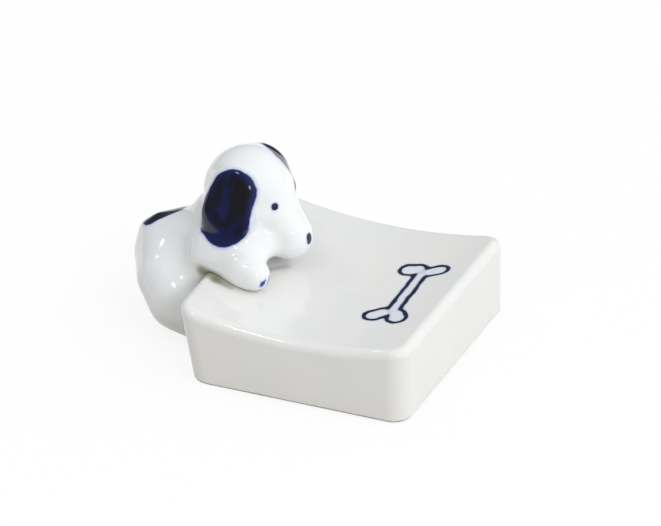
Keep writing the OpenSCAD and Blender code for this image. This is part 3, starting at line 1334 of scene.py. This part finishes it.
        def on_flap(along: float, high: float) -> Triple:
            """Gives a point on the ear's flat, from the skull's middle along the flap."""
            return self.head.place(along + ahead, lean_up * (high + up), lean_out * (high + up))

        return [
            Stroke(on_flap(0.76, 0.41), on_flap(-0.25, -4.15), 8.1, 10.0, facing),
            Stroke(on_flap(-3.7, -5.5), on_flap(-0.5, -8.3), 4.8, 1.7, facing),
        ]

    def paintings(self) -> dict[str, Painting]:
        """Says what is painted on each piece.

        Returns:
            The paintings by node.
        """
        brush = CobaltPaint()
        dot = CobaltPaint(
            blue=(0.010, 0.016, 0.075), body_width=0.5, bleed_width=0.22, bleed_strength=0.45, streak=1.5
        )
        toe = CobaltPaint(
            core=(0.012, 0.022, 0.16), blue=(0.03, 0.08, 0.42), body_width=0.4, bleed_width=0.28, streak=1.0
        )
        y, body, head = self.middle, Mirror((0.0, self.middle, 0.0)), self.head
        near_ear = self.ear_patch(0.0, 0.0)
        far_ear = [stroke.through(head) for stroke in self.ear_patch(1.2, 0.9)]
        back = Stroke((-26.2, y + 0.5, 15.2), (-21.9, y + 0.5, 17.8), 5.6, 1.8, (-0.6, 0.0, 0.8))
        eye = Stroke((-2.54, -1.76, 24.7), (-2.56, -1.74, 24.6), 1.3)
        nose = Stroke((2.62, 1.08, 18.45), (2.64, 1.1, 17.8), 1.5)
        toes = [
            Stroke((-1.14, -10.44, 14.5), (-1.28, -10.5, 14.25), 1.0, 0.8),
            Stroke((-0.86, -10.05, 14.95), (-1.1, -10.3, 14.6), 0.35),
            Stroke((-0.66, -8.66, 15.05), (-0.76, -9.12, 14.13), 0.45),
        ]
        return {
            "head": [(dot, [eye, eye.through(head), nose]), (brush, near_ear + far_ear)],
            "torso": [(brush, [back] + near_ear + far_ear)],
            "tail": [(brush, [back])],
            "right_ear": [(brush, near_ear)],
            "left_ear": [(brush, far_ear)],
            "right_foreleg": [(toe, toes), (brush, near_ear)],
            "left_foreleg": [(toe, [t.through(body) for t in toes]), (brush, far_ear)],
        }

    def dress(self, pieces: dict[str, Piece]) -> None:
        """Glazes and paints the pieces, and puts each in its CAD node's place.

        Args:
            pieces: The pieces by node.
        """
        paintings = self.paintings()
        for node, piece in pieces.items():
            piece.data.materials.clear()
            piece.data.materials.append(self.kiln.fire(f"{piece.name}_glaze", paintings.get(node, [])))
            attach(piece, "root")
            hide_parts(node)


# The studio


@dataclass(frozen=True)
class Softbox:
    """A square lamp that faces the rest.

    Attributes:
        name: Its name.
        towards: The direction from the rest to the lamp.
        away: How far off it is, in metres.
        size: Its side, in metres.
        watts: Its power.
    """

    name: str
    towards: Triple
    away: float
    size: float
    watts: float


@dataclass(frozen=True)
class Glow:
    """A wide soft light in the world.

    Attributes:
        towards: The direction from the rest to its middle.
        falloff: How fast it fades away from there: the power of the cosine.
        strength: Its strength in the middle.
    """

    towards: Triple
    falloff: float
    strength: float


@dataclass
class Studio:
    """A white floor, soft light and a camera at the photograph's angle.

    Attributes:
        target: What the camera looks at, in millimetres.
        towards: The direction from the rest to the camera.
        distance: How far off the camera is, in metres.
        lens: Its focal length, in millimetres on a sensor 36 mm wide.
        floor_size: The floor's side, in metres.
        paper: The floor's colour to the camera and in gloss.
        bounced: The colour of the light that it throws back.
        dimmed: Its colour in gloss where the paper has ended.
        paper_end: How far in front of the rest the paper ends, as gloss shows it, in millimetres.
        paper_fade: Where it starts to end, as a share of that.
        dimming: How much less of the paper's own light shows past its end.
        paper_glow: How much of what is seen of the paper is its own light.
        tone: The world's colour.
        ambient: The world's strength all round.
        mirrored: How much of the world shows in gloss, where the lamps take over.
        glows: The wider soft lights in the world.
        lamps: The small lamps.
    """

    target: Triple = (6.93, 0.0, 14.89)
    towards: Triple = (0.3383, -0.8049, 0.4879)
    distance: float = 2.4
    lens: float = 771.2
    floor_size: float = 4.0
    paper: Triple = (0.92, 0.92, 0.92)
    bounced: Triple = (0.485, 0.46, 0.415)
    dimmed: Triple = (0.08, 0.08, 0.08)
    paper_end: float = 65.0
    paper_fade: float = 0.5
    dimming: float = 0.9
    paper_glow: float = 0.86
    tone: Triple = (0.975, 0.988, 1.0)
    ambient: float = 0.69
    mirrored: float = 0.28
    glows: tuple[Glow, ...] = (Glow((1.0, 0.1, 0.30), 2.0, 1.25),)
    lamps: tuple[Softbox, ...] = (
        Softbox("key", (0.64, -0.58, 0.46), 0.7, 0.13, 0.62),
        Softbox("window", (-0.23, -0.38, 0.88), 0.8, 0.12, 0.42),
        Softbox("side", (-0.60, 0.13, 0.79), 0.8, 0.09, 0.22),
    )

    def build(self) -> None:
        """Sets up the floor, the light and the camera."""
        self._floor()
        self._world()
        for lamp in self.lamps:
            self._lamp(lamp)
        self._camera()
        bpy.context.scene.view_settings.view_transform = "Standard"

    def _paper_shown(self, desk: Palette) -> tuple[Socket, Socket]:
        """Says how white the paper shows, and how dim.

        Args:
            desk: The floor's palette.

        Returns:
            1 for rays from the camera and for those seen in gloss and glass, and then, in gloss
            alone, 1 where the paper has ended and the room is dim.
        """
        rays = desk.add("LightPath").outputs
        across = desk.add("SeparateXYZ", (desk.place(),)).outputs["Y"]
        ended = desk.ramp(across, -self.paper_end * MM, -self.paper_fade * self.paper_end * MM, 1.0, 0.0)
        dim = desk.sum("MULTIPLY", ended, rays["Is Glossy Ray"])
        seen = desk.sum("MAXIMUM", rays["Is Camera Ray"], rays["Is Glossy Ray"])
        seen = desk.sum("MAXIMUM", seen, rays["Is Transmission Ray"])
        return desk.sum("SUBTRACT", seen, desk.sum("MULTIPLY", dim, self.dimming)), dim

    def _floor(self) -> None:
        """Lays a white floor that keeps a little of the rest's shadow."""
        bpy.ops.object.select_all(action="DESELECT")
        bpy.ops.mesh.primitive_plane_add(size=self.floor_size, location=(0.0, 0.0, 0.0))
        floor = settle(bpy.context.active_object, "floor")
        material = bpy.data.materials.new("floor_paper")
        material.use_nodes = True
        desk = Palette(material.node_tree)
        desk.tree.nodes.clear()
        seen, dim = self._paper_shown(desk)
        lit = desk.tint(dim, desk.tint(seen, opaque(self.bounced), opaque(self.paper)), opaque(self.dimmed))
        paper = desk.add("BsdfDiffuse", {"Color": lit}).outputs[0]
        glow = desk.add("Emission", {"Color": (1.0, 1.0, 1.0, 1.0), "Strength": 1.0}).outputs[0]
        mixed = desk.add("MixShader", (desk.sum("MULTIPLY", seen, self.paper_glow), paper, glow)).outputs[0]
        desk.add("OutputMaterial", {"Surface": mixed})
        floor.data.materials.append(material)

    def _world(self) -> None:
        """Lights the room from all round, and more from where the soft lights are."""
        world = bpy.data.worlds.new("studio")
        bpy.context.scene.world = world
        world.use_nodes = True
        desk = Palette(world.node_tree)
        desk.tree.nodes.clear()
        looking = desk.add("TexCoord").outputs["Generated"]
        strength: Feed = self.ambient
        for glow in self.glows:
            facing = desk.vector("DOT_PRODUCT", looking, Vector(glow.towards).normalized())
            faded = desk.sum("POWER", desk.sum("MAXIMUM", facing, 0.0), glow.falloff)
            strength = desk.sum("MULTIPLY_ADD", faded, glow.strength, strength)
        rays = desk.add("LightPath").outputs
        mirrored = desk.ramp(rays["Is Glossy Ray"], 0.0, 1.0, 1.0, self.mirrored)
        strength = desk.sum("MULTIPLY", strength, mirrored)
        room = desk.add("Background", {"Color": opaque(self.tone), "Strength": strength}).outputs[0]
        white = desk.add("Background", {"Color": (1.0, 1.0, 1.0, 1.0)}).outputs[0]
        mixed = desk.add("MixShader", (rays["Is Camera Ray"], room, white)).outputs[0]
        desk.add("OutputWorld", {"Surface": mixed})

    def _place(self, name: str, data: bpy.types.ID, towards: Triple, away: float) -> Piece:
        """Puts a lamp or a camera in the scene, facing the rest.

        Args:
            name: Its name.
            data: The lamp or the camera.
            towards: The direction from the rest to it.
            away: How far off it is, in metres.

        Returns:
            Its object.
        """
        placed = bpy.data.objects.new(name, data)
        bpy.context.scene.collection.objects.link(placed)
        direction = Vector(towards).normalized()
        placed.location = metres(self.target) + direction * away
        placed.rotation_euler = direction.to_track_quat("Z", "Y").to_euler()
        return placed

    def _lamp(self, lamp: Softbox) -> None:
        """Hangs a lamp.

        Args:
            lamp: The lamp's facts.
        """
        data = bpy.data.lights.new(lamp.name, "AREA")
        data.shape = "SQUARE"
        data.size = lamp.size
        data.energy = lamp.watts
        self._place(lamp.name, data, lamp.towards, lamp.away)

    def _camera(self) -> None:
        """Sets the camera."""
        data = bpy.data.cameras.new("camera")
        data.lens = self.lens
        data.sensor_width = 36.0
        bpy.context.scene.camera = self._place("camera", data, self.towards, self.distance)


def main() -> None:
    """Builds the rest and its studio, piece by piece."""
    logging.basicConfig(level=logging.INFO, format="%(name)s: %(message)s")
    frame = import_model()
    kiln = Kiln(GlazeGroups())

    block = Block(kiln)
    slab = block.build()
    block.dress(slab)
    log.info("block: %d faces", len(slab.data.polygons))

    puppy = Puppy(kiln, frame["nodes"])
    pieces = puppy.build(slab)
    puppy.dress(pieces)
    for node, piece in pieces.items():
        log.info("%s for %s: %d faces", piece.name, node, len(piece.data.polygons))

    Studio().build()


if __name__ == "__main__":
    main()
